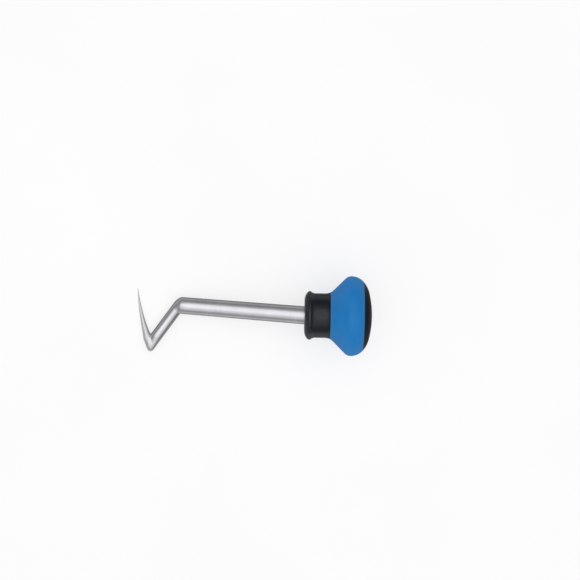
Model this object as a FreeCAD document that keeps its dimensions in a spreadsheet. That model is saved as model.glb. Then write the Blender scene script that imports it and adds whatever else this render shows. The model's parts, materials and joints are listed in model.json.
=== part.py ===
"""Hooked pick with a palm knob, as a parametric FreeCAD document, in millimetres.

The tool is drawn along its own axis: X runs from the collar's front face, at x = 0, to the knob's end,
Y is across it in the plane of the hook, towards the point's side, and Z is square to the hook.
Every sub-part is then laid down the way the tool lies on a bench: on the knob, the arm and the point.
"""

import FreeCAD, Part
import Sketcher
import math
import os

from FreeCAD import Matrix, Placement, Rotation, Vector

SIZES = {
    # collar
    "face_dia": 15.4,  # the flat ring at its front
    "rim_dia": 23.2,
    "rim_at": 2.4,
    "rim_round": 1.2,
    "rim_hollow": 3.2,  # from the rim down to the neck
    "neck_dia": 21.2,
    "mouth_wall": 4.0,
    "mouth_chamfer": 0.5,
    "spigot_dia": 19.8,
    "spigot_end": 14.0,
    # knob
    "knob_dia": 38.0,
    "knob_peak": 22.2,
    "knob_end": 32.1,
    "flare_round": 5.5,  # from the neck to the cone, which rises at 45 degrees
    "crown_round": 4.0,  # in front of the widest circle
    "shoulder_round": 7.7,  # behind it
    "dome_round": 46.0,
    "seam_front": 12.2,  # collar to grip
    "seam_rear": 27.9,  # grip to cap
    # core
    "nose_dia": 16.0,
    "nose_start": 5.2,
    "hub_dia": 27.6,
    "hub_start": 19.0,
    "disc_dia": 30.0,
    "disc_start": 25.4,
    "rib_dia": 29.2,
    "rib_width": 3.2,
    "rib_start": 18.0,
    "rib_root": 3.0,  # how deep the ribs reach into the hub
    "ribs": 6,
    "pocket_dia": 16.0,
    "pocket_floor": 20.5,
    # cap
    "skirt_wall": 1.4,
    "skirt_front": 24.2,
    "bead_at": 25.4,
    "bead_width": 1.0,
    "bead_height": 0.25,
    "cap_hollow": 29.2,
    "relief_inner": 19.6,
    "relief_outer": 29.0,
    "relief_depth": 1.1,
    "play": 0.05,  # clearance all round between fitted pieces
    # hook shaft
    "root_dia": 8.6,  # at the collar
    "bar_dia": 8.0,  # at the bend
    "bar_length": 58.8,
    "cant": 3.6,  # how many degrees the bar leans towards the point's side
    "bend": 58.0,
    "bend_crease": 0.5,  # radius on the inside of the bend
    "arm_dia": 5.45,
    "arm_length": 20.05,  # to the elbow's centre
    "elbow": 124.0,
    "toe_length": 4.0,  # the arm's last stretch before the elbow's centre, where it begins to narrow
    "toe_past": 1.05,  # how far past the elbow's centre its narrow end lies
    "toe_dia": 3.2,
    "pick_length": 27.5,
    "pick_curve": 14.7,
    "point_dia": 0.18,
    "pick_slim": 0.6,  # the share of the pick's width that narrows evenly; the rest goes near the elbow
    "tang_dia": 7.0,
    "tang_flats": 5.2,
    "thread_dia": 5.0,
    "thread_end": 28.0,
    "thread_lead": 0.6,
    # washers and nut
    "thrust_dia": 14.6,
    "washer_dia": 12.0,
    "washer_thick": 1.0,
    "nut_flats": 8.0,
    "nut_height": 3.8,
    "nut_chamfer": 0.5,
    "nut_crown": 0.5,  # wall round the insert
    "insert_dia": 6.9,
    "insert_height": 1.3,
}

FULL_TURN = 360
PAST = 1.0  # how far a cut runs past what it cuts
BEND_STATIONS = 9
PICK_STATIONS = (0.12, 0.18, 0.27, 0.38, 0.5, 0.63, 0.76, 0.88, 1)
PICK_ROOT_POWER = 5
# the bar thins early in the bend: the first power softens the start, the second hastens the fall
BEND_EASE = 1.3
BEND_FALL = 2.2

doc = FreeCAD.newDocument("hooked_pick")
sheet = doc.addObject("Spreadsheet::Sheet", "Sizes")
for row, (alias, number) in enumerate(SIZES.items(), start=1):
    sheet.set(f"A{row}", alias)
    sheet.set(f"B{row}", str(number))
    sheet.setAlias(f"B{row}", alias)
doc.recompute()


class Size:
    """A number together with the formula that works it out from the sheet."""

    def __init__(self, value, formula=None):
        self.value = float(value)
        self.formula = formula or f"({self.value:.9f})"

    def joined(self, sign, other, value):
        return Size(value, f"({self.formula} {sign} {sized(other).formula})")

    def __add__(self, other):
        return self.joined("+", other, self.value + sized(other).value)

    def __sub__(self, other):
        return self.joined("-", other, self.value - sized(other).value)

    def __mul__(self, other):
        return self.joined("*", other, self.value * sized(other).value)

    def __truediv__(self, other):
        return self.joined("/", other, self.value / sized(other).value)


def sized(number):
    return number if isinstance(number, Size) else Size(number)


def size(alias):
    return Size(sheet.get(alias), f"Sizes.{alias}")


def half(alias):
    return size(alias) / 2


def root(number):
    return Size(math.sqrt(number.value), f"sqrt({number.formula})")


def cos(degrees):
    return Size(math.cos(math.radians(degrees.value)), f"cos({degrees.formula} * 1 deg)")


def sin(degrees):
    return Size(math.sin(math.radians(degrees.value)), f"sin({degrees.formula} * 1 deg)")


# ------------------------------------------------------------------ drawing


def origin_feature(body, role):
    return next(f for f in body.Origin.OriginFeatures if f.Role == role)


def new_body(label):
    body = doc.addObject("PartDesign::Body", label)
    body.Label = label
    return body


def new_sketch(body, name, role="XY_Plane"):
    sketch = body.newObject("Sketcher::SketchObject", name)
    sketch.AttachmentSupport = [(origin_feature(body, role), "")]
    sketch.MapMode = "FlatFace"
    return sketch


def bind(sketch, kind, *where, to):
    """Adds a constraint whose number follows the sheet."""
    index = sketch.addConstraint(Sketcher.Constraint(kind, *where, to.value))
    sketch.setExpression(f"Constraints[{index}]", to.formula)


def pin(sketch, edge, end, x, y):
    """Holds one end of an edge at (x, y), on the axis itself where that is zero."""
    for kind, axis, place in (("DistanceX", -2, x), ("DistanceY", -1, y)):
        if place.value == 0:
            sketch.addConstraint(Sketcher.Constraint("PointOnObject", edge, end, axis))
        else:
            bind(sketch, kind, -1, 1, edge, end, to=place)


def to(x, y, bulge=None, hollow=None):
    """A corner of an outline, reached by a straight edge or by a bulging or hollow arc of that radius."""
    return sized(x), sized(y), bulge, hollow


def arc_through(start, end, radius, turn):
    """The short arc between two points, with its centre on the left if turn is 1 and the right if -1."""
    chord = end - start
    reach = math.sqrt(radius**2 - (chord.Length / 2) ** 2)
    centre = (start + end) / 2 + Vector(-chord.y, chord.x, 0).normalize() * reach * turn
    first, last = [math.atan2(p.y - centre.y, p.x - centre.x) for p in (start, end)[::turn]]
    if last < first:
        last += 2 * math.pi
    return Part.ArcOfCircle(Part.Circle(centre, Vector(0, 0, 1), radius), first, last)


def draw_outline(sketch, corners):
    """A closed outline, given anticlockwise."""
    joins = []
    for (x0, y0, _, _), (x, y, bulge, hollow) in zip(corners[-1:] + corners[:-1], corners):
        start, end = Vector(x0.value, y0.value, 0), Vector(x.value, y.value, 0)
        radius = bulge or hollow
        if radius:
            edge = sketch.addGeometry(arc_through(start, end, radius.value, 1 if bulge else -1), False)
            bind(sketch, "Radius", edge, to=radius)
        else:
            edge = sketch.addGeometry(Part.LineSegment(start, end), False)
        joins.append((edge, 2, 1) if hollow else (edge, 1, 2))
    for (edge, _, end), (following, start, _), (x, y, _, _) in zip(joins, joins[1:] + joins[:1], corners):
        sketch.addConstraint(Sketcher.Constraint("Coincident", edge, end, following, start))
        pin(sketch, edge, end, x, y)


def draw_block(sketch, left, right, bottom, top):
    draw_outline(sketch, [to(left, bottom), to(right, bottom), to(right, top), to(left, top)])


def draw_circle(sketch, diameter):
    edge = sketch.addGeometry(Part.Circle(Vector(), Vector(0, 0, 1), diameter.value / 2), False)
    sketch.addConstraint(Sketcher.Constraint("Coincident", edge, 3, -1, 1))
    bind(sketch, "Diameter", edge, to=diameter)


def turned(body, kind, name, corners):
    """Turns an outline, drawn as x along the tool and y out from its axis, right round that axis."""
    sketch = new_sketch(body, name + "_outline")
    draw_outline(sketch, corners)
    feature = body.newObject("PartDesign::" + kind, name)
    feature.Profile = sketch
    feature.ReferenceAxis = (sketch, ["H_Axis"])
    feature.Angle = FULL_TURN
    doc.recompute()
    return feature


def revolve(body, name, corners):
    return turned(body, "Revolution", name, corners)


def groove(body, name, corners):
    before = body.Shape.Volume
    turned(body, "Groove", name, corners)
    need_less(body, before, name)


def pad(body, name, sketch, length, both_ways=False):
    feature = body.newObject("PartDesign::Pad", name)
    feature.Profile = sketch
    feature.setExpression("Length", length.formula)
    feature.Midplane = both_ways
    doc.recompute()
    return feature


def pocket(body, name, sketch, length):
    """Cuts the sketch's shape half of the length each way from its plane."""
    before = body.Shape.Volume
    feature = body.newObject("PartDesign::Pocket", name)
    feature.Profile = sketch
    feature.setExpression("Length", length.formula)
    feature.Midplane = True
    doc.recompute()
    need_less(body, before, name)
    return feature


def need_less(body, before, name):
    if body.Shape.Volume >= before:
        raise RuntimeError(f"{name} cut nothing")


def repeat_round(body, feature, count):
    """Repeats a feature evenly round the tool's axis."""
    ring = body.newObject("PartDesign::PolarPattern", feature.Name + "s")
    ring.Originals = [feature]
    ring.Axis = (origin_feature(body, "X_Axis"), [""])
    ring.Angle = FULL_TURN
    ring.setExpression("Occurrences", count.formula)
    body.Tip = ring
    doc.recompute()


# ------------------------------------------------------------------ the knob's shared outline

DIAGONAL = Size(math.sqrt(0.5), "sqrt(0.5)")
NECK = half("neck_dia")
KNOB = half("knob_dia")
SPIGOT = half("spigot_dia")
NOSE = half("nose_dia")
HUB = half("hub_dia")
DISC = half("disc_dia")
POCKET = half("pocket_dia")
PLAY = size("play")

CONE_TOP_X = size("knob_peak") - size("crown_round") * DIAGONAL
CONE_TOP_Y = KNOB - size("crown_round") + size("crown_round") * DIAGONAL
CONE_FOOT_X = CONE_TOP_X - CONE_TOP_Y + NECK
FLARE_REACH = size("flare_round") * math.tan(math.pi / 8)
FLARE_START_X = CONE_FOOT_X - FLARE_REACH
FLARE_END_X = CONE_FOOT_X + FLARE_REACH * DIAGONAL
FLARE_END_Y = NECK + FLARE_REACH * DIAGONAL


def leg_of(long_side, short_side):
    """The third side of a right-angled triangle."""
    return root(long_side * long_side - short_side * short_side)


SEAM_FRONT_Y = NECK + size("flare_round") - leg_of(size("flare_round"), size("seam_front") - FLARE_START_X)
SHOULDER_X = size("seam_rear") - size("knob_peak")
SHOULDER_Y = leg_of(size("shoulder_round"), SHOULDER_X)
SEAM_REAR_Y = KNOB - size("shoulder_round") + SHOULDER_Y


def dome_edge():
    """The cap's corner arc, which runs on from the shoulder at the seam and meets the dome smoothly.

    Returns its radius, and the x and y where the dome begins.
    """
    dome = size("dome_round")
    dome_centre = size("knob_end") - dome
    x, y = size("seam_rear") - dome_centre, SEAM_REAR_Y
    out_x, out_y = SHOULDER_X / size("shoulder_round"), SHOULDER_Y / size("shoulder_round")
    radius = (dome * dome - x * x - y * y) / ((dome - out_x * x - out_y * y) * 2)
    stretch = dome / (dome - radius)
    return radius, dome_centre + (x - out_x * radius) * stretch, (y - out_y * radius) * stretch


# ------------------------------------------------------------------ handle


def make_front_collar():
    """Black collar with a rounded rim, a sleeve over the core's nose."""
    body = new_body("front_collar")
    bore = half("root_dia") + PLAY
    mouth = size("mouth_chamfer")
    rim, hollow = size("rim_round"), size("rim_hollow")
    rim_centre = half("rim_dia") - rim
    # the rim's round meets the front at 45 degrees
    front_x = size("rim_at") - rim * DIAGONAL
    front_y = rim_centre + rim * DIAGONAL
    rise = front_y - half("face_dia")
    front_round = (front_x * front_x + rise * rise) / ((rise - front_x) * DIAGONAL * 2)
    # the hollow touches both the rim's round and the neck
    across = leg_of(rim + hollow, NECK + hollow - rim_centre)
    share = rim / (rim + hollow)
    revolve(
        body,
        "collar",
        [
            to(mouth, bore),
            to(size("mouth_wall"), bore),
            to(size("mouth_wall"), NOSE + PLAY),
            to(size("spigot_end"), NOSE + PLAY),
            to(size("spigot_end"), SPIGOT),
            to(size("seam_front"), SPIGOT),
            to(size("seam_front"), SEAM_FRONT_Y),
            to(FLARE_START_X, NECK, hollow=size("flare_round")),
            to(size("rim_at") + across, NECK),
            to(
                size("rim_at") + across * share,
                rim_centre + (NECK + hollow - rim_centre) * share,
                hollow=hollow,
            ),
            to(front_x, front_y, bulge=rim),
            to(0, half("face_dia"), bulge=front_round),
            to(0, bore + mouth),
        ],
    )
    return body


def make_handle_core():
    """Hard hub that carries the tang, with ribs that key the soft grip and a pocket for the nut."""
    body = new_body("handle_core")
    bead_front, bead_back = bead_ends(PLAY)
    revolve(
        body,
        "hub",
        [
            to(size("nose_start"), 0),
            to(size("pocket_floor"), 0),
            to(size("pocket_floor"), POCKET),
            to(bead_front, POCKET),
            to(bead_front, POCKET + size("bead_height")),
            to(bead_back, POCKET + size("bead_height")),
            to(bead_back, POCKET),
            to(size("seam_rear"), POCKET),
            to(size("seam_rear"), DISC),
            to(size("disc_start"), DISC),
            to(size("disc_start"), HUB),
            to(size("hub_start"), HUB),
            to(size("spigot_end"), SPIGOT),
            to(size("spigot_end"), NOSE),
            to(size("nose_start"), NOSE),
        ],
    )
    rib = new_sketch(body, "rib_outline")
    draw_block(rib, size("rib_start"), size("disc_start") + PAST, HUB - size("rib_root"), half("rib_dia"))
    repeat_round(body, pad(body, "rib", rib, size("rib_width"), both_ways=True), size("ribs"))
    radius = half("tang_dia") + PLAY
    flat = half("tang_flats") + PLAY
    reach = leg_of(radius, flat)
    bore = new_sketch(body, "tang_bore_outline", "YZ_Plane")
    left, low = Size(0) - flat, Size(0) - reach
    draw_outline(
        bore,
        [to(left, low), to(flat, low, bulge=radius), to(flat, reach), to(left, reach, bulge=radius)],
    )
    pocket(body, "tang_bore", bore, (size("pocket_floor") + PAST) * 2)
    return body


def bead_ends(slack):
    middle, reach = size("bead_at"), half("bead_width") + slack
    return middle - reach, middle + reach


def make_soft_grip():
    """Soft blue knob, moulded over the core and the collar's spigot."""
    body = new_body("soft_grip")
    revolve(
        body,
        "knob",
        [
            to(size("seam_front"), SPIGOT + PLAY),
            to(size("spigot_end") + PLAY, SPIGOT + PLAY),
            to(size("hub_start"), HUB + PLAY),
            to(size("disc_start") - PLAY, HUB + PLAY),
            to(size("disc_start") - PLAY, DISC + PLAY),
            to(size("seam_rear"), DISC + PLAY),
            to(size("seam_rear"), SEAM_REAR_Y),
            to(size("knob_peak"), KNOB, bulge=size("shoulder_round")),
            to(CONE_TOP_X, CONE_TOP_Y, bulge=size("crown_round")),
            to(FLARE_END_X, FLARE_END_Y),
            to(size("seam_front"), SEAM_FRONT_Y, hollow=size("flare_round")),
        ],
    )
    slot = new_sketch(body, "rib_slot_outline")
    draw_block(
        slot,
        size("rib_start") - PLAY,
        size("disc_start"),
        HUB - size("rib_root"),
        half("rib_dia") + PLAY,
    )
    cut = pocket(body, "rib_slot", slot, size("rib_width") + PLAY * 2)
    repeat_round(body, cut, size("ribs"))
    return body


def make_end_cap():
    """Black domed cap, whose skirt snaps into the core's pocket behind the nut."""
    body = new_body("end_cap")
    skirt = POCKET - PLAY
    skirt_bore = skirt - size("skirt_wall")
    bead_front, bead_back = bead_ends(Size(0))
    edge_round, dome_x, dome_y = dome_edge()
    relief_end = size("seam_rear") + size("relief_depth")
    revolve(
        body,
        "cap",
        [
            to(size("knob_end"), 0),
            to(dome_x, dome_y, bulge=size("dome_round")),
            to(size("seam_rear"), SEAM_REAR_Y, bulge=edge_round),
            to(size("seam_rear"), half("relief_outer")),
            to(relief_end, half("relief_outer")),
            to(relief_end, half("relief_inner")),
            to(size("seam_rear"), half("relief_inner")),
            to(size("seam_rear"), skirt),
            to(bead_back, skirt),
            to(bead_back, skirt + size("bead_height")),
            to(bead_front, skirt + size("bead_height")),
            to(bead_front, skirt),
            to(size("skirt_front"), skirt),
            to(size("skirt_front"), skirt_bore),
            to(size("cap_hollow"), skirt_bore),
            to(size("cap_hollow"), 0),
        ],
    )
    return body


# ------------------------------------------------------------------ washers and nut


def make_ring(label, start, end, outer, inner):
    """A flat ring, square to the tool's axis."""
    body = new_body(label)
    revolve(body, label + "_ring", [to(start, inner), to(end, inner), to(end, outer), to(start, outer)])
    return body


def make_thrust_washer():
    """Between the bar's shoulder and the core's nose."""
    bore = half("tang_dia") + PLAY
    return make_ring("thrust_washer", size("mouth_wall"), size("nose_start"), half("thrust_dia"), bore)


NUT_START = size("pocket_floor") + size("washer_thick")
NUT_END = NUT_START + size("nut_height")
INSERT_END = NUT_END + size("insert_height")
THREAD_BORE = half("thread_dia") + PLAY


def make_tang_washer():
    """On the floor of the core's pocket, under the nut."""
    return make_ring("tang_washer", size("pocket_floor"), NUT_START, half("washer_dia"), THREAD_BORE)


def make_tang_nut():
    """Hexagon lock nut, with a round crown that holds its nylon insert."""
    body = new_body("tang_nut")
    corner = size("nut_flats") / math.sqrt(3)
    hexagon = new_sketch(body, "hexagon_outline", "YZ_Plane")
    hexagon.setExpression("AttachmentOffset.Base.z", NUT_START.formula)
    turns = [Size(60 * i + 30) for i in range(6)]
    draw_outline(hexagon, [to(corner * cos(turn), corner * sin(turn)) for turn in turns])
    pad(body, "hexagon", hexagon, size("nut_height"))
    crown = half("insert_dia") + size("nut_crown")
    seat = NUT_END - size("nut_chamfer")
    revolve(
        body,
        "insert_crown",
        [
            to(seat, THREAD_BORE),
            to(NUT_END, THREAD_BORE),
            to(NUT_END, half("insert_dia")),
            to(INSERT_END, half("insert_dia")),
            to(INSERT_END, crown),
            to(seat, crown),
        ],
    )
    bore = new_sketch(body, "thread_bore_outline", "YZ_Plane")
    draw_circle(bore, THREAD_BORE * 2)
    pocket(body, "thread_bore", bore, (INSERT_END + PAST) * 2)
    edge = half("nut_flats")
    groove(
        body,
        "corner_chamfer",
        [
            to(NUT_START, edge),
            to(NUT_START + size("nut_chamfer"), corner + PLAY),
            to(NUT_START, corner + PLAY),
        ],
    )
    return body


def make_nut_insert():
    """Nylon ring that locks the nut on the thread."""
    return make_ring("nut_insert", NUT_END, INSERT_END, half("insert_dia"), THREAD_BORE)


# ------------------------------------------------------------------ hook shaft

BAR_WAY = Size(180) - size("cant")
ARM_WAY = BAR_WAY + size("bend")
PICK_WAY = ARM_WAY - size("elbow")
ARM = half("arm_dia")
TIP = half("point_dia")


def move(point, way, distance):
    """The point a distance further along a heading, in the plane of the hook."""
    return point[0] + cos(way) * distance, point[1] + sin(way) * distance


def bend_station(share):
    """Centre, heading and radius of the shaft at a share of the bend, which turns about its inner crease."""
    bar = half("bar_dia")
    bar_end = move((Size(0), Size(0)), BAR_WAY, size("bar_length"))
    crease = move(bar_end, BAR_WAY + 90, bar + size("bend_crease"))
    way = BAR_WAY + size("bend") * share
    radius = ARM + (bar - ARM) * (1 - share**BEND_EASE) ** BEND_FALL
    return move(crease, way - 90, radius + size("bend_crease")), way, radius


ARM_START = bend_station(1)[0]
ELBOW = move(ARM_START, ARM_WAY, size("arm_length"))
TOE_START = move(ARM_START, ARM_WAY, size("arm_length") - size("toe_length"))
TOE_END = move(move(ELBOW, ARM_WAY, size("toe_past")), ARM_WAY + 90, ARM - half("toe_dia"))


def pick_station(share):
    """The same at a share of the pick, which bows a little on its way to the point."""
    bow = size("pick_length") / size("pick_curve") * (180 / math.pi)
    pivot = move(ELBOW, PICK_WAY - 90, bow)
    way = PICK_WAY - size("pick_curve") * share
    slim = size("pick_slim")
    width = slim * (1 - share) + (Size(1) - slim) * (1 - share) ** PICK_ROOT_POWER
    return move(pivot, way + 90, bow), way, TIP + (ARM - TIP) * width


def draw_station(body, name, centre, way, radius):
    """A circle square to the shaft's centre line."""
    sketch = new_sketch(body, name, "YZ_Plane")
    sketch.AttachmentOffset = Placement(Vector(), Rotation(Vector(0, 1, 0), way.value))
    sketch.setExpression("AttachmentOffset.Base.x", centre[1].formula)
    sketch.setExpression("AttachmentOffset.Base.z", centre[0].formula)
    sketch.setExpression("AttachmentOffset.Rotation.Angle", f"{way.formula} * 1 deg")
    draw_circle(sketch, radius * 2)
    return sketch


def loft(body, name, stations):
    sketches = [draw_station(body, f"{name}_circle_{i}", *one) for i, one in enumerate(stations)]
    feature = body.newObject("PartDesign::AdditiveLoft", name)
    feature.Profile = sketches[0]
    feature.Sections = sketches[1:]
    doc.recompute()


def make_hook_shaft():
    """One steel bar: threaded tang, straight bar, bend, slimmer arm, elbow and ground pick."""
    body = new_body("hook_shaft")
    root_radius, tang, thread = half("root_dia"), half("tang_dia"), half("thread_dia")
    start, floor, end = size("mouth_wall"), size("pocket_floor"), size("thread_end")
    # the bar turns to its cant about the ball at the collar's face
    revolve(
        body,
        "tang",
        [
            to(Size(0) - root_radius, 0, bulge=root_radius),
            to(end, 0),
            to(end, thread - size("thread_lead")),
            to(end - size("thread_lead"), thread),
            to(floor, thread),
            to(floor, tang),
            to(start, tang),
            to(start, root_radius),
            to(0, root_radius),
        ],
    )
    flats = new_sketch(body, "tang_flats_outline")
    draw_block(flats, start, floor, half("tang_flats"), tang + PAST)
    one_side = pocket(body, "tang_flat", flats, size("root_dia"))
    repeat_round(body, one_side, Size(2))
    bend = [bend_station(i / (BEND_STATIONS - 1)) for i in range(BEND_STATIONS)]
    loft(body, "bar", [((Size(0), Size(0)), BAR_WAY, root_radius), bend[0]])
    loft(body, "bend", bend)
    circle = draw_station(body, "arm_circle", ARM_START, ARM_WAY, ARM)
    pad(body, "arm", circle, size("arm_length") - size("toe_length"))
    toe_radius = half("toe_dia")
    loft(body, "toe", [(TOE_START, ARM_WAY, ARM), (TOE_END, ARM_WAY, toe_radius)])
    ball = body.newObject("PartDesign::AdditiveSphere", "elbow")
    ball.setExpression("Radius", toe_radius.formula)
    ball.setExpression("Placement.Base.x", TOE_END[0].formula)
    ball.setExpression("Placement.Base.y", TOE_END[1].formula)
    doc.recompute()
    pick = [pick_station(share) for share in PICK_STATIONS]
    loft(body, "knee", [(TOE_END, PICK_WAY, toe_radius), pick[0]])
    loft(body, "pick", pick)
    return body


# ------------------------------------------------------------------ lying on a bench


def reaches(up):
    """How far the knob, the arm's toe and the point reach below the collar's centre, for a way up."""
    crown = SIZES["crown_round"]
    ring = SIZES["knob_dia"] / 2 - crown
    knob = crown + ring * math.hypot(up.y, up.z) - up.x * SIZES["knob_peak"]
    toe = Vector(TOE_START[0].value, TOE_START[1].value, 0)
    lean = up.x * cos(ARM_WAY).value + up.y * sin(ARM_WAY).value
    arm = ARM.value * math.sqrt(1 - lean * lean)
    (tip_x, tip_y), _, tip_radius = pick_station(1)
    tip = Vector(tip_x.value, tip_y.value, 0)
    return knob, arm - up.dot(toe), tip_radius.value - up.dot(tip)


def way_up():
    """The way up, in the tool's own axes, that brings all three down to the bench together."""
    step, rounds = 1e-6, 12

    def direction(x, y):
        return Vector(x, y, math.sqrt(1 - x * x - y * y))

    def unevenness(x, y):
        knob, toe, tip = reaches(direction(x, y))
        return knob - toe, toe - tip

    x, y = 0.2, 0.0
    for _ in range(rounds):
        f, g = unevenness(x, y)
        f_x, g_x = [(b - a) / step for a, b in zip((f, g), unevenness(x + step, y))]
        f_y, g_y = [(b - a) / step for a, b in zip((f, g), unevenness(x, y + step))]
        det = f_x * g_y - f_y * g_x
        x, y = x - (f * g_y - g * f_y) / det, y - (g * f_x - f * g_x) / det
    return direction(x, y)


def lying_placement(shapes):
    """Lays the tool on the plane z = 0, with its box centred over the origin."""
    up = way_up()
    along = (Vector(1, 0, 0) - up * up.x).normalize()
    across = up.cross(along)
    turn = Rotation(Matrix(*along, 0, *across, 0, *up, 0, 0, 0, 0, 1))
    box = FreeCAD.BoundBox()
    for shape in shapes:
        lying = shape.copy()
        lying.Placement = Placement(Vector(), turn)
        box.add(lying.optimalBoundingBox(False))
    return Placement(Vector(-box.Center.x, -box.Center.y, max(reaches(up))), turn)


# ------------------------------------------------------------------ build and export

MAKERS = (
    make_hook_shaft,
    make_front_collar,
    make_thrust_washer,
    make_handle_core,
    make_soft_grip,
    make_tang_washer,
    make_tang_nut,
    make_nut_insert,
    make_end_cap,
)


def check(bodies):
    for thing in doc.Objects:
        if {"Invalid", "Error"} & set(thing.State):
            raise RuntimeError(f"{thing.Label} failed: {thing.State}")
    for body in bodies:
        if body.Shape.isNull() or not body.Shape.isValid() or len(body.Shape.Solids) != 1:
            raise RuntimeError(f"{body.Label} isn't one valid solid")


def main():
    bodies = [make() for make in MAKERS]
    lying = lying_placement([body.Shape for body in bodies])
    for body in bodies:
        body.Placement = lying
    doc.recompute()
    check(bodies)
    os.makedirs("parts", exist_ok=True)
    for body in bodies:
        body.Shape.exportStep(f"parts/{body.Label}.step")
        print(f"{body.Label}: {body.Shape.Volume:.1f} mm3")
    print("collar face centre", [round(part, 4) for part in lying.Base])
    for name, axis in (("x", Vector(1, 0, 0)), ("y", Vector(0, 1, 0)), ("z", Vector(0, 0, 1))):
        print("tool's", name, [round(part, 6) for part in lying.Rotation.multVec(axis)])


main()
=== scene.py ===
import json
import math

import bmesh
import bpy
from mathutils import Matrix, Vector


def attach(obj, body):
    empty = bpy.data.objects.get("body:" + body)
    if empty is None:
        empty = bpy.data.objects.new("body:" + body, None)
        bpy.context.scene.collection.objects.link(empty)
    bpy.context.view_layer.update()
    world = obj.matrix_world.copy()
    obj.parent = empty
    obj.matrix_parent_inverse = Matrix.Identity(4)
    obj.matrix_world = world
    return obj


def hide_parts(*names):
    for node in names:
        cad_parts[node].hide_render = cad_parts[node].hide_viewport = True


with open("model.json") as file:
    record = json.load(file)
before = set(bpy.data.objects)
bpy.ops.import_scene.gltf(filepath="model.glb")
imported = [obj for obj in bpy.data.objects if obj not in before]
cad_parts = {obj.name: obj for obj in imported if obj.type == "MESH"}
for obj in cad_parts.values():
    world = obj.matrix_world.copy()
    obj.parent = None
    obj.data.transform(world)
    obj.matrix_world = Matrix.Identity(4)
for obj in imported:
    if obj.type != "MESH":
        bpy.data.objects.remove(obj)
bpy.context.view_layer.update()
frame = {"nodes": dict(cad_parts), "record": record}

# The tool's own axes, in millimetres: X from the collar's face towards the knob, Y across it
# towards the point's side of the hook, and Z square to the hook.  The frame's two mounts say how
# they lie.
MM = 0.001
ROUND = 2 * math.pi


def mount(name):
    return next(m for m in frame["record"]["mounts"] if m["name"] == name)


def tool_axes():
    face, shank = mount("collar_face"), mount("shank_clip")
    along = -Vector(face["axis"]).normalized()
    square = along.cross(Vector(shank["axis"])).normalized()
    turn = Matrix((along, square.cross(along), square)).transposed().to_4x4()
    return Matrix.Translation(face["pos_m"]) @ turn @ Matrix.Scale(MM, 4)


TOOL = tool_axes()


def reach(node):
    """A CAD node's front end, rear end and largest radius, along and round the tool's own axis."""
    inward = TOOL.inverted()
    points = [inward @ v.co for v in frame["nodes"][node].data.vertices]
    along = [p.x for p in points]
    return min(along), max(along), max(math.hypot(p.y, p.z) for p in points)


# ---------------------------------------------------------------- turned pieces

SPIN_STEPS = 144
ARC_STEP = math.radians(4)
CORNER_ANGLE = math.radians(32)
MERGE = 1e-4


def start_outline(x, y):
    bm = bmesh.new()
    return bm, bm.verts.new((x, y, 0))


def line(bm, tip, x, y):
    """Draws a straight edge of an outline on to (x, y)."""
    new = bmesh.ops.extrude_vert_indiv(bm, verts=[tip])["verts"][0]
    bmesh.ops.translate(bm, verts=[new], vec=Vector((x, y, 0)) - new.co)
    return new


def arc(bm, tip, x, y, radius):
    """Draws the short arc on to (x, y): a positive radius bulges, and a negative one is hollow."""
    start, end = tip.co.copy(), Vector((x, y, 0))
    chord = end - start
    left = Vector((-chord.y, chord.x, 0)).normalized() * math.copysign(1, radius)
    rise = math.sqrt(radius**2 - (chord.length / 2) ** 2)
    turn = 2 * math.asin(chord.length / 2 / radius)
    spun = bmesh.ops.spin(
        bm,
        geom=[tip],
        cent=(start + end) / 2 + left * rise,
        axis=(0, 0, 1),
        angle=turn,
        steps=max(3, math.ceil(abs(turn) / ARC_STEP)),
    )
    return spun["geom_last"][0]


def trace(bm, tip, *moves):
    """Draws several edges, each (x, y), or (x, y, radius) for an arc."""
    for move in moves:
        tip = arc(bm, tip, *move) if len(move) == 3 else line(bm, tip, *move)
    return tip


def spin_round(bm):
    """Turns the outline right round the tool's axis and closes it, at the axis too."""
    bmesh.ops.spin(
        bm,
        geom=bm.verts[:] + bm.edges[:],
        cent=(0, 0, 0),
        axis=(1, 0, 0),
        angle=ROUND,
        steps=SPIN_STEPS,
        use_merge=True,
    )
    bmesh.ops.remove_doubles(bm, verts=bm.verts, dist=MERGE)


def finish_piece(bm, name, material, slot, *nodes, edge_round=0.0):
    """Lays a piece where the CAD says, and lets it stand for the nodes that it shows better."""
    bmesh.ops.recalc_face_normals(bm, faces=bm.faces)
    bmesh.ops.transform(bm, matrix=TOOL, verts=bm.verts)
    mesh = bpy.data.meshes.new(name)
    bm.to_mesh(mesh)
    bm.free()
    mesh.shade_smooth()
    mesh.set_sharp_from_angle(angle=CORNER_ANGLE)
    mesh.materials.append(material)
    piece = bpy.data.objects.new(name, mesh)
    bpy.context.scene.collection.objects.link(piece)
    if edge_round:
        bevel = piece.modifiers.new("softened_edges", "BEVEL")
        bevel.width = edge_round * MM
        bevel.segments = 3
        bevel.limit_method = "ANGLE"
        bevel.angle_limit = CORNER_ANGLE
    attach(piece, "root")
    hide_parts(*nodes)
    return piece


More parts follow.
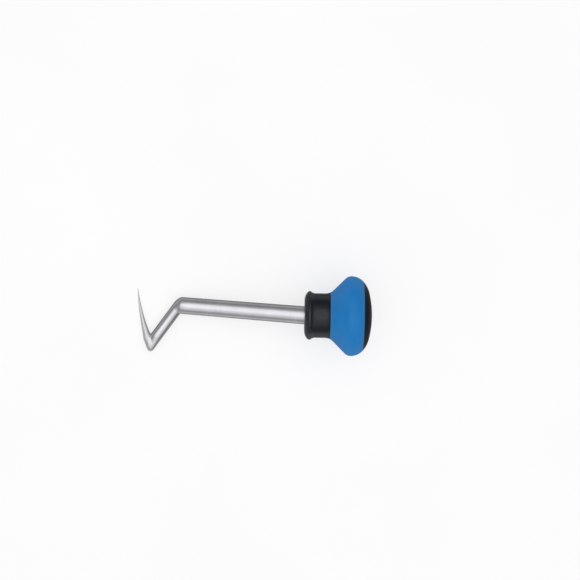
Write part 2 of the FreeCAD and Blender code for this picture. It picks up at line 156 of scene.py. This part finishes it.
# sizes of the handle, as the CAD has them
COLLAR_FRONT, SPIGOT_END, RIM = reach("front_collar")
SEAM_FRONT, SEAM_REAR, KNOB = reach("soft_grip")
SKIRT_FRONT, KNOB_END, CAP_EDGE = reach("end_cap")
DISC = reach("handle_core")[2]
FACE, MOUTH_WALL = 7.7, reach("thrust_washer")[0]
RIM_AT, RIM_ROUND, RIM_HOLLOW = 2.4, 1.2, 3.2
NECK, NOSE, SPIGOT = 10.6, 8.0, 9.9
BORE, MOUTH = 4.35, 4.85
FLARE_ROUND, CROWN_ROUND, SHOULDER_ROUND, DOME_ROUND = 5.5, 4.0, 7.7, 46.0
KNOB_PEAK = 22.2
RIB, DISC_START, RIB_START = 14.6, 25.4, 18.0
PLAY = 0.05
DIAGONAL = math.sqrt(0.5)

CONE_TOP = (KNOB_PEAK - CROWN_ROUND * DIAGONAL, KNOB - CROWN_ROUND + CROWN_ROUND * DIAGONAL)
CONE_FOOT = CONE_TOP[0] - CONE_TOP[1] + NECK
FLARE_REACH = FLARE_ROUND * math.tan(math.pi / 8)
FLARE_START = CONE_FOOT - FLARE_REACH
FLARE_END = (CONE_FOOT + FLARE_REACH * DIAGONAL, NECK + FLARE_REACH * DIAGONAL)
SEAM_FRONT_Y = NECK + FLARE_ROUND - math.sqrt(FLARE_ROUND**2 - (SEAM_FRONT - FLARE_START) ** 2)


def make_collar(material):
    """Black collar: flat face, rounded rim, neck, and a spigot tucked under the grip."""
    rim_centre = RIM - RIM_ROUND
    front = (RIM_AT - RIM_ROUND * DIAGONAL, rim_centre + RIM_ROUND * DIAGONAL)
    rise = front[1] - FACE
    front_round = (front[0] ** 2 + rise**2) / (2 * DIAGONAL * (rise - front[0]))
    drop = NECK + RIM_HOLLOW - rim_centre
    across = math.sqrt((RIM_ROUND + RIM_HOLLOW) ** 2 - drop**2)
    share = RIM_ROUND / (RIM_ROUND + RIM_HOLLOW)
    bm, first = start_outline(COLLAR_FRONT + MOUTH - BORE, BORE)
    last = trace(
        bm,
        first,
        (MOUTH_WALL, BORE),
        (MOUTH_WALL, NOSE + PLAY),
        (SPIGOT_END, NOSE + PLAY),
        (SPIGOT_END, SPIGOT),
        (SEAM_FRONT, SPIGOT),
        (SEAM_FRONT, SEAM_FRONT_Y),
        (FLARE_START, NECK, -FLARE_ROUND),
        (RIM_AT + across, NECK),
        (RIM_AT + across * share, rim_centre + drop * share, -RIM_HOLLOW),
        (*front, RIM_ROUND),
        (COLLAR_FRONT, FACE, front_round),
        (COLLAR_FRONT, MOUTH),
    )
    bm.edges.new((last, first))
    spin_round(bm)
    return finish_piece(bm, "collar", material, "collar_black", "front_collar", edge_round=0.18)


def make_grip(material):
    """Blue mushroom grip: neck flare, cone, crown and shoulder, with a lip at each seam."""
    bm, first = start_outline(SEAM_FRONT, SPIGOT + PLAY)
    last = trace(
        bm,
        first,
        (SPIGOT_END + PLAY, SPIGOT + PLAY),
        (RIB_START - PLAY, RIB + PLAY),
        (DISC_START - PLAY, RIB + PLAY),
        (DISC_START - PLAY, DISC + PLAY),
        (SEAM_REAR, DISC + PLAY),
        (SEAM_REAR, CAP_EDGE),
        (KNOB_PEAK, KNOB, SHOULDER_ROUND),
        (*CONE_TOP, CROWN_ROUND),
        FLARE_END,
        (SEAM_FRONT, SEAM_FRONT_Y, -FLARE_ROUND),
    )
    bm.edges.new((last, first))
    spin_round(bm)
    return finish_piece(bm, "grip", material, "grip_blue", "soft_grip", edge_round=0.3)


def make_cap(material):
    """Black domed cap with its skirt."""
    skirt, skirt_wall, hollow = 8.0 - PLAY, 1.4, 29.2
    dome_centre = KNOB_END - DOME_ROUND
    out = Vector((SEAM_REAR - KNOB_PEAK, CAP_EDGE - KNOB + SHOULDER_ROUND)) / SHOULDER_ROUND
    seam = Vector((SEAM_REAR - dome_centre, CAP_EDGE))
    edge = (DOME_ROUND**2 - seam.length_squared) / (2 * (DOME_ROUND - out.dot(seam)))
    dome_edge = (seam - out * edge) * DOME_ROUND / (DOME_ROUND - edge)
    bm, first = start_outline(KNOB_END, 0)
    trace(
        bm,
        first,
        (dome_centre + dome_edge.x, dome_edge.y, DOME_ROUND),
        (SEAM_REAR, CAP_EDGE, edge),
        (SEAM_REAR, skirt),
        (SKIRT_FRONT, skirt),
        (SKIRT_FRONT, skirt - skirt_wall),
        (hollow, skirt - skirt_wall),
        (hollow, 0),
    )
    spin_round(bm)
    return finish_piece(bm, "cap", material, "cap_black", "end_cap", edge_round=0.18)


# ---------------------------------------------------------------- hook shaft

RING = 64
BAR_RINGS, BEND_RINGS, ARM_RINGS, PICK_RINGS = 24, 24, 10, 60
HEEL_STEPS, TOE_STEPS, FLAT_STEPS, KNEE_STEPS, SPREAD_STEPS = 6, 18, 8, 3, 5
ROOT, BAR, ARM, TIP = 4.3, 4.0, 2.725, 0.09
TANG, TANG_FLAT, THREAD, LEAD = 3.5, 2.6, 2.5, 0.6
POCKET_FLOOR, THREAD_END = 20.5, 28.0
TURN_REACH = 0.4  # the bar turns to its cant within this of the collar's face
CLOSE = 0.01
BAR_LENGTH, ARM_LENGTH, PICK_LENGTH = 58.8, 20.05, 27.5
CREASE = 0.5
BAR_WAY = math.radians(180 - 3.6)
ARM_WAY = BAR_WAY + math.radians(58)
PICK_WAY = ARM_WAY - math.radians(124.0)
PICK_CURVE = math.radians(14.7)
# the bar thins early in the bend: the first power softens the start, the second hastens the fall
BEND_EASE, BEND_FALL = 1.3, 2.2
# the share of the pick's width that narrows evenly; the rest goes near the elbow
PICK_SLIM, PICK_ROOT_POWER = 0.6, 5
# the shares of the pick where its outer side, then its inner side, leave the elbow
KNEE, FAN_END = 0.12, 0.2
TOE, TOE_PAST, TOE_DEPTH = 1.6, 1.05, 2.0
CREASE_ROUND = 0.4


def heading(way):
    return Vector((math.cos(way), math.sin(way), 0))


def bend_station(share):
    """Centre, heading and radius at a share of the bend, which turns about its inner crease."""
    crease = heading(BAR_WAY) * BAR_LENGTH + heading(BAR_WAY + math.pi / 2) * (BAR + CREASE)
    way = BAR_WAY + (ARM_WAY - BAR_WAY) * share
    radius = ARM + (BAR - ARM) * (1 - share**BEND_EASE) ** BEND_FALL
    return crease + heading(way - math.pi / 2) * (radius + CREASE), way, radius


ARM_START = bend_station(1)[0]
ELBOW = ARM_START + heading(ARM_WAY) * ARM_LENGTH


def pick_station(share):
    """The same at a share of the pick, which bows a little on its way to the point."""
    bow = PICK_LENGTH / PICK_CURVE
    way = PICK_WAY - PICK_CURVE * share
    pivot = ELBOW + heading(PICK_WAY - math.pi / 2) * bow
    width = PICK_SLIM * (1 - share) + (1 - PICK_SLIM) * (1 - share) ** PICK_ROOT_POWER
    return pivot + heading(way + math.pi / 2) * bow, way, TIP + (ARM - TIP) * width


def ring_matrix(centre, out, across, deep):
    """A ring square to the shaft, whose half widths are across, towards out, and deep."""
    along = Vector((0, 0, 1)).cross(out)
    sides = Matrix((out * across, Vector((0, 0, 1)) * deep, along)).transposed().to_4x4()
    return Matrix.Translation(centre) @ sides


def round_ring(centre, way, radius):
    return ring_matrix(centre, heading(way - math.pi / 2), radius, radius)


def straight_rings(start, end, way, first, last, count):
    return [
        round_ring(start.lerp(end, i / count), way, first + (last - first) * i / count)
        for i in range(count + 1)
    ]


def elbow_outside():
    """The elbow's outer side.  Each point has its stage: up to 1 along the arm, 1 round the toe,
    up to 2 at the knee, and up to 3 along the pick."""
    knee, knee_way, knee_radius = pick_station(KNEE)
    along, outside = heading(ARM_WAY), heading(ARM_WAY + math.pi / 2)
    toe = ELBOW + along * TOE_PAST + outside * (ARM - TOE)
    to_knee = knee - toe
    leave_way = math.atan2(to_knee.y, to_knee.x) + math.asin((knee_radius - TOE) / to_knee.length)
    back = TOE_PAST + (ELBOW - elbow_notch()).dot(along)
    points = []
    for i in range(HEEL_STEPS):
        points.append((toe + outside * TOE - along * back * (1 - i / HEEL_STEPS), i / HEEL_STEPS))
    for i in range(TOE_STEPS + 1):
        way = ARM_WAY + (leave_way - ARM_WAY) * i / TOE_STEPS
        points.append((toe + heading(way + math.pi / 2) * TOE, 1))
    foot, top = points[-1][0], knee + heading(leave_way + math.pi / 2) * knee_radius
    for i in range(1, FLAT_STEPS):
        points.append((foot.lerp(top, i / FLAT_STEPS), 1 + i / FLAT_STEPS))
    for i in range(KNEE_STEPS):
        way = leave_way + (knee_way - leave_way) * i / KNEE_STEPS
        points.append((knee + heading(way + math.pi / 2) * knee_radius, 2))
    for i in range(SPREAD_STEPS + 1):
        centre, way, radius = pick_station(KNEE + (FAN_END - KNEE) * i / SPREAD_STEPS)
        points.append((centre + heading(way + math.pi / 2) * radius, 2 + i / SPREAD_STEPS))
    return points


def elbow_notch():
    """The middle of the small round inside the elbow, which the fan of rings turns about."""
    centre, way, radius = pick_station(FAN_END)
    return centre + heading(way - math.pi / 2) * (radius + CREASE_ROUND)


def elbow_rings():
    """Rings that fan out from the notch inside the elbow to its outer side."""
    notch = elbow_notch()
    back = (ELBOW - notch).dot(heading(ARM_WAY))
    arm_crease = (ELBOW - heading(ARM_WAY) * back - notch).length - ARM
    outside = elbow_outside()
    depths = (ARM, TOE_DEPTH, pick_station((KNEE + FAN_END) / 2)[2], pick_station(FAN_END)[2])
    rings = []
    for i, (point, stage) in enumerate(outside):
        crease = arm_crease + (CREASE_ROUND - arm_crease) * i / (len(outside) - 1)
        leg = min(2, int(stage))
        deep = depths[leg] + (depths[leg + 1] - depths[leg]) * (stage - leg)
        way_out = (point - notch).normalized()
        far = (point - notch).length
        centre = notch + way_out * (far + crease) / 2
        rings.append(ring_matrix(centre, -way_out, (far - crease) / 2, deep))
    return rings


def shaft_rings():
    """Every ring from the tang's end to the point."""
    inside = [(THREAD_END, THREAD - LEAD), (THREAD_END - LEAD, THREAD), (POCKET_FLOOR, THREAD)]
    inside += [(POCKET_FLOOR, TANG), (MOUTH_WALL, TANG), (MOUTH_WALL, ROOT), (TURN_REACH, ROOT)]
    rings = [round_ring(Vector((x, 0, 0)), math.pi, radius) for x, radius in inside]
    bar_start, bar_end = heading(BAR_WAY) * TURN_REACH, heading(BAR_WAY) * BAR_LENGTH
    rings += straight_rings(bar_start, bar_end, BAR_WAY, ROOT, BAR, BAR_RINGS)
    rings += [round_ring(*bend_station(i / BEND_RINGS)) for i in range(1, BEND_RINGS + 1)]
    elbow = elbow_rings()
    along = heading(ARM_WAY)
    arm_end = ARM_START + along * (elbow[0].translation - ARM_START).dot(along)
    rings += straight_rings(ARM_START, arm_end, ARM_WAY, ARM, ARM, ARM_RINGS)[1:-1]
    rings += elbow
    shares = [FAN_END + (1 - FAN_END) * i / PICK_RINGS for i in range(1, PICK_RINGS + 1)]
    return rings + [round_ring(*pick_station(share)) for share in shares]


def make_shaft(material):
    """One steel bar, drawn ring by ring, with how far along it each ring is kept for its finish."""
    rings = shaft_rings()
    bm = bmesh.new()
    run_layer = bm.verts.layers.float.new("run")
    circle = bmesh.ops.create_circle(bm, cap_ends=True, segments=RING, radius=1, matrix=rings[0])
    verts, run = circle["verts"], 0.0
    edges = list({e for v in verts for e in v.link_edges})
    for before, after in zip(rings, rings[1:]):
        new = bmesh.ops.extrude_edge_only(bm, edges=edges)["geom"]
        verts = [g for g in new if isinstance(g, bmesh.types.BMVert)]
        edges = [g for g in new if isinstance(g, bmesh.types.BMEdge)]
        bmesh.ops.transform(bm, matrix=after @ before.inverted(), verts=verts)
        run += (after.translation - before.translation).length
        for v in verts:
            v[run_layer] = run * MM
    bmesh.ops.pointmerge(bm, verts=verts, merge_co=rings[-1].translation)
    for v in bm.verts:
        on_tang = MOUTH_WALL - CLOSE < v.co.x < POCKET_FLOOR + CLOSE
        if on_tang and math.hypot(v.co.y, v.co.z) < TANG + CLOSE:
            v.co.y = max(-TANG_FLAT, min(TANG_FLAT, v.co.y))
    return finish_piece(bm, "shaft", material, "shaft_steel", "hook_shaft")


# ---------------------------------------------------------------- finishes


class Finish:
    """A node material, with short ways to add and join its nodes."""

    def __init__(self, name):
        self.material = bpy.data.materials.new(name)
        self.material.use_nodes = True
        self.nodes = self.material.node_tree.nodes
        self.links = self.material.node_tree.links
        self.shader = self.nodes["Principled BSDF"]
        self.place = self.nodes.new("ShaderNodeTexCoord").outputs["Object"]

    def along(self):
        """How far behind the collar's face a point is, in millimetres along the tool."""
        tool = self.nodes.new("ShaderNodeMapping")
        tool.vector_type = "TEXTURE"
        tool.inputs["Location"].default_value = TOOL.translation
        tool.inputs["Rotation"].default_value = TOOL.to_euler()
        tool.inputs["Scale"].default_value = (MM, MM, MM)
        self.join(self.place, tool, "Vector")
        split = self.nodes.new("ShaderNodeSeparateXYZ")
        self.join(tool.outputs["Vector"], split, "Vector")
        return split.outputs["X"]

    def seam_wear_and_sheen(self, reach, *edges):
        """Wear from handling along the edges at these places along the tool, in fading patches; on
        the grip the same mask also paints a highlight along its seams.
        """
        along, wear_and_highlight = self.along(), 0.0
        for edge in edges:
            away = self.math("ABSOLUTE", self.math("SUBTRACT", along, edge), 0)
            wear_and_highlight = self.math("MAXIMUM", wear_and_highlight, self.remap(away, 1, 0, 0, reach))
        patches = self.remap(self.noise(1.4, detail=5, roughness=0.7), 0.15, 1, 0.4, 0.6)
        return self.math("MULTIPLY", wear_and_highlight, patches)

    def set(self, **values):
        for name, value in values.items():
            self.shader.inputs[name.replace("_", " ")].default_value = value

    def join(self, source, node, socket):
        self.links.new(source, node.inputs[socket])

    def noise(self, per_mm, detail=3.0, roughness=0.5, w=None):
        node = self.nodes.new("ShaderNodeTexNoise")
        node.inputs["Scale"].default_value = per_mm / MM
        node.inputs["Detail"].default_value = detail
        node.inputs["Roughness"].default_value = roughness
        if w is not None:
            node.noise_dimensions = "4D"
            self.join(w, node, "W")
        self.join(self.place, node, "Vector")
        return node.outputs["Fac"]

    def remap(self, source, low, high, from_low=0.3, from_high=0.7):
        node = self.nodes.new("ShaderNodeMapRange")
        self.join(source, node, "Value")
        node.inputs["From Min"].default_value = from_low
        node.inputs["From Max"].default_value = from_high
        node.inputs["To Min"].default_value = low
        node.inputs["To Max"].default_value = high
        return node.outputs["Result"]

    def math(self, operation, a, b):
        node = self.nodes.new("ShaderNodeMath")
        node.operation = operation
        for i, value in enumerate((a, b)):
            if isinstance(value, (int, float)):
                node.inputs[i].default_value = value
            else:
                self.links.new(value, node.inputs[i])
        return node.outputs["Value"]

    def blend(self, amount, first, second):
        """Mixes two colours, each a plain (red, green, blue) or another node's output."""
        node = self.nodes.new("ShaderNodeMix")
        node.data_type = "RGBA"
        self.links.new(amount, node.inputs["Factor"])
        for socket, shade in ((6, first), (7, second)):
            if isinstance(shade, bpy.types.NodeSocket):
                self.links.new(shade, node.inputs[socket])
            else:
                node.inputs[socket].default_value = (*shade, 1)
        return node.outputs[2]

    def bump(self, height, depth_mm, strength):
        node = self.nodes.new("ShaderNodeBump")
        node.inputs["Strength"].default_value = strength
        node.inputs["Distance"].default_value = depth_mm * MM
        self.join(height, node, "Height")
        return node.outputs["Normal"]

    def color(self, source):
        self.join(source, self.shader, "Base Color")

    def rough(self, source):
        self.join(source, self.shader, "Roughness")

    def normal(self, source):
        self.join(source, self.shader, "Normal")


GROUND_FROM, GROUND_FADE = 108.0, 6.0  # where the ground point begins, from the tang's end
RINGS_PER_METRE = 150.0


def satin_steel():
    """Ground and polished bar: fine rings round it, a coarser grind on the pick, faint clouds."""
    f = Finish("satin_steel")
    f.set(Metallic=1.0)
    run = f.nodes.new("ShaderNodeAttribute")
    run.attribute_name = "run"
    turns = f.math("MULTIPLY", run.outputs["Fac"], RINGS_PER_METRE)
    rings = f.noise(0.02, detail=4, roughness=0.7, w=turns)
    cloud = f.noise(0.12, detail=2)
    ground = f.remap(run.outputs["Fac"], 0, 1, GROUND_FROM * MM, (GROUND_FROM + GROUND_FADE) * MM)
    pale = f.math("MAXIMUM", f.remap(cloud, 0, 0.4), ground)
    f.color(f.blend(pale, (0.5, 0.5, 0.515), (0.7, 0.7, 0.71)))
    f.rough(f.math("ADD", f.remap(rings, 0.2, 0.29), f.math("MULTIPLY", ground, 0.3)))
    f.normal(f.bump(rings, 0.004, 0.5))
    return f.material


def moulded_black(name, shade, gloss, smooth, rough, reach, *edges):
    """Fine mould texture on black plastic, paler and smoother along its edges from wear."""
    f = Finish(name)
    f.set(Specular_IOR_Level=gloss)
    grain = f.noise(4.5, detail=2)
    cloud = f.noise(0.15, detail=2)
    wear_and_highlight = f.seam_wear_and_sheen(reach, *edges)
    shades = f.blend(f.remap(cloud, 0, 1), [c * 0.8 for c in shade], shade)
    f.color(f.blend(wear_and_highlight, shades, [c + 0.02 for c in shade]))
    f.rough(f.math("SUBTRACT", f.remap(cloud, smooth, rough), f.math("MULTIPLY", wear_and_highlight, 0.08)))
    f.normal(f.bump(grain, 0.02, 0.5))
    return f.material


def soft_blue():
    """Soft moulded rubber with a fine matt skin, paler at both seams from wear and from a painted
    highlight on the lips.
    """
    f = Finish("soft_blue")
    f.set(Specular_IOR_Level=0.26)
    grain = f.noise(5.0, detail=3)
    cloud = f.noise(0.12, detail=2)
    wear_and_highlight = f.seam_wear_and_sheen(2.6, SEAM_FRONT, SEAM_REAR)
    blues = f.blend(f.remap(cloud, 0, 1), (0.007, 0.192, 0.53), (0.01, 0.212, 0.575))
    # Paler teal at both seams: partly wear, partly a painted highlight where the rubber lips catch
    # light.
    f.color(f.blend(f.math("MULTIPLY", wear_and_highlight, 0.8), blues, (0.045, 0.2, 0.43)))
    f.rough(f.math("ADD", f.remap(cloud, 0.46, 0.56), f.math("MULTIPLY", wear_and_highlight, 0.1)))
    f.normal(f.bump(grain, 0.03, 0.5))
    return f.material


def plain_moulding(name, dark, light):
    """An inner moulding, with soft flow marks."""
    f = Finish(name)
    flow = f.noise(0.3, detail=3)
    f.color(f.blend(f.remap(flow, 0, 1), dark, light))
    f.rough(f.remap(flow, 0.45, 0.6))
    f.normal(f.bump(f.noise(3.0), 0.02, 0.4))
    return f.material


def zinc_plate():
    """Plated steel with a fine crystalline mottle."""
    f = Finish("zinc_plate")
    f.set(Metallic=1.0)
    mottle = f.noise(1.5, detail=4)
    f.color(f.blend(f.remap(mottle, 0, 1), (0.5, 0.51, 0.53), (0.62, 0.63, 0.64)))
    f.rough(f.remap(mottle, 0.3, 0.45))
    f.normal(f.bump(mottle, 0.01, 0.5))
    return f.material


def dress(node, material):
    for slot in frame["nodes"][node].material_slots:
        slot.material = material


# ---------------------------------------------------------------- bench, light and camera

AIM_X, AIM_Y, DISTANCE = -7.06, 11.92, 651.9
ROLL = math.radians(1.0)
LENS, SENSOR = 85, 36
SKY, BACK_DIM, PANEL, SOFTBOX, TABLE_GLOW = 1.1, 0.15, 0.2, 2.2, 0.7
PANEL_FROM, PANEL_TO = 0.55, 0.95
SOFTBOX_SIZE, SOFTBOX_AT = 1.2, Vector((0, 0.15, 1.4))
BENCH_SIZE = 3.0


def make_bench():
    """A softly glowing table top, which keeps shadows faint and isn't mirrored in the steel."""
    bm = bmesh.new()
    bmesh.ops.create_grid(bm, x_segments=1, y_segments=1, size=BENCH_SIZE)
    mesh = bpy.data.meshes.new("bench")
    bm.to_mesh(mesh)
    bm.free()
    f = Finish("pale_bench")
    f.color(f.blend(f.remap(f.noise(0.01), 0, 1), (0.29, 0.29, 0.29), (0.31, 0.31, 0.31)))
    f.set(Roughness=0.8, Emission_Color=(1, 1, 1, 1), Emission_Strength=TABLE_GLOW)
    mesh.materials.append(f.material)
    bench = bpy.data.objects.new("bench", mesh)
    bpy.context.scene.collection.objects.link(bench)
    bench.visible_glossy = False


# the tent's brightness from straight down, at 0, to straight up, at 1
SKY_BANDS = (
    (0.0, 0.22),
    (0.18, 0.32),
    (0.33, 0.68),
    (0.44, 0.55),
    (0.54, 0.36),
    (0.62, 0.32),
    (0.75, 0.5),
    (0.85, 0.8),
    (0.93, 1.0),
    (1.0, 1.03),
)


def make_sky():
    """A tent: bright overhead, dim just above the horizon, and darker beyond the knob's end."""
    world = bpy.data.worlds.new("tent")
    bpy.context.scene.world = world
    world.use_nodes = True
    nodes, links = world.node_tree.nodes, world.node_tree.links
    split = nodes.new("ShaderNodeSeparateXYZ")
    links.new(nodes.new("ShaderNodeTexCoord").outputs["Generated"], split.inputs["Vector"])
    height = nodes.new("ShaderNodeMapRange")
    height.inputs["From Min"].default_value = -1
    links.new(split.outputs["Z"], height.inputs["Value"])
    ramp = nodes.new("ShaderNodeValToRGB")
    links.new(height.outputs["Result"], ramp.inputs["Fac"])
    links.new(ramp.outputs["Color"], nodes["Background"].inputs["Color"])
    bands = ramp.color_ramp.elements
    bands.remove(bands[1])
    bands[0].position = SKY_BANDS[0][0]
    for place, _ in SKY_BANDS[1:]:
        bands.new(place)
    for band, (_, level) in zip(bands, SKY_BANDS):
        band.color = (level, level, level * 1.02, 1)
    depth = nodes.new("ShaderNodeMapRange")
    depth.inputs["From Min"].default_value = -1
    depth.inputs["To Min"].default_value = SKY * (1 + BACK_DIM)
    depth.inputs["To Max"].default_value = SKY * (1 - BACK_DIM)
    links.new(split.outputs["Y"], depth.inputs["Value"])
    panel = nodes.new("ShaderNodeMapRange")
    panel.inputs["From Min"].default_value = PANEL_FROM
    panel.inputs["From Max"].default_value = PANEL_TO
    panel.inputs["To Min"].default_value = 1
    panel.inputs["To Max"].default_value = PANEL
    links.new(split.outputs["X"], panel.inputs["Value"])
    both = nodes.new("ShaderNodeMath")
    both.operation = "MULTIPLY"
    links.new(depth.outputs["Result"], both.inputs[0])
    links.new(panel.outputs["Result"], both.inputs[1])
    links.new(both.outputs["Value"], nodes["Background"].inputs["Strength"])


def make_softbox():
    light = bpy.data.lights.new("softbox", "AREA")
    light.size = SOFTBOX_SIZE
    light.energy = SOFTBOX
    lamp = bpy.data.objects.new("softbox", light)
    bpy.context.scene.collection.objects.link(lamp)
    lamp.location = TOOL.to_3x3().normalized() @ SOFTBOX_AT
    lamp.rotation_euler = (-lamp.location).to_track_quat("-Z", "Y").to_euler()


def make_camera():
    data = bpy.data.cameras.new("camera")
    data.lens = LENS
    data.sensor_width = SENSOR
    camera = bpy.data.objects.new("camera", data)
    bpy.context.scene.collection.objects.link(camera)
    axes = TOOL.to_3x3().normalized().to_4x4() @ Matrix.Rotation(ROLL, 4, "Z")
    camera.matrix_world = Matrix.Translation(TOOL @ Vector((AIM_X, AIM_Y, DISTANCE))) @ axes
    bpy.context.scene.camera = camera


make_shaft(satin_steel())
make_collar(moulded_black("collar_black", (0.001, 0.004, 0.008), 0.36, 0.18, 0.25, 1.6, 0, RIM_AT))
make_grip(soft_blue())
make_cap(moulded_black("cap_black", (0.003, 0.008, 0.014), 0.2, 0.45, 0.55, 1.2, SEAM_REAR))

dress("handle_core", plain_moulding("core_black", (0.012, 0.012, 0.013), (0.02, 0.02, 0.021)))
dress("nut_insert", plain_moulding("insert_nylon", (0.62, 0.63, 0.65), (0.72, 0.73, 0.75)))
plate = zinc_plate()
for node in ("thrust_washer", "tang_washer", "tang_nut"):
    dress(node, plate)

make_bench()
make_sky()
make_softbox()
make_camera()
bpy.context.scene.view_settings.view_transform = "Standard"
